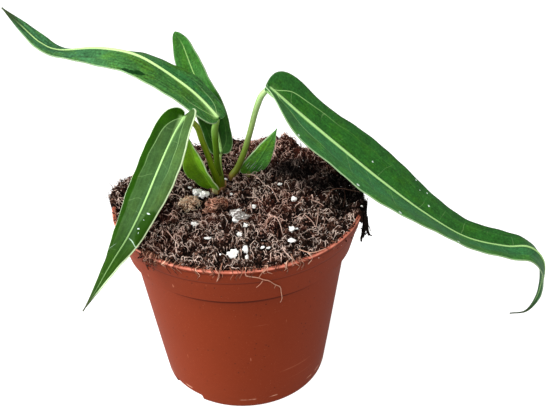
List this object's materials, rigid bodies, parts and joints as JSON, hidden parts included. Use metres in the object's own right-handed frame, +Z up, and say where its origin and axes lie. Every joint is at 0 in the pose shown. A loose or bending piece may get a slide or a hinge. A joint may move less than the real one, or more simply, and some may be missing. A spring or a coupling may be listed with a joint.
{
  "type": "potted queen anthurium",
  "caption": "Young aroid house plant with long, drooping, velvety strap-shaped leaves on slim stalks, in a tapered plastic nursery pot heaped with fibrous potting mix.",
  "frame": {"origin": "middle of the pot's base, on the surface that the pot stands on", "axes": "+Z up out of the pot; X along the plant's longest reach, with the longest leaf towards +X; -Y is the front that the picture shows"},
  "size_m": [0.2617, 0.1224, 0.1853],
  "materials": {
    "pot_plastic": "satin",
    "soil": "matte",
    "coir": "matte",
    "perlite": "matte",
    "stalk_olive": "satin",
    "stalk_pale": "satin",
    "leaf_green": "matte",
    "leaf_young": "satin"
  },
  "bodies": {
    "root": {"pot": "pot_plastic", "soil": "soil", "shoot": "stalk_olive", "stalk_right": "stalk_pale", "stalk_small": "stalk_pale", "leaf_left": "leaf_green", "leaf_right": "leaf_green", "leaf_front": "leaf_green", "leaf_back": "leaf_green", "leaf_low": "leaf_young", "leaf_small": "leaf_green", "perlite_1": "perlite", "perlite_2": "perlite", "perlite_3": "perlite", "perlite_4": "perlite", "perlite_5": "perlite", "perlite_6": "perlite", "perlite_7": "perlite", "perlite_8": "perlite", "perlite_9": "perlite", "coir_clump_1": "coir", "coir_clump_2": "coir"}
  },
  "joints": []
}
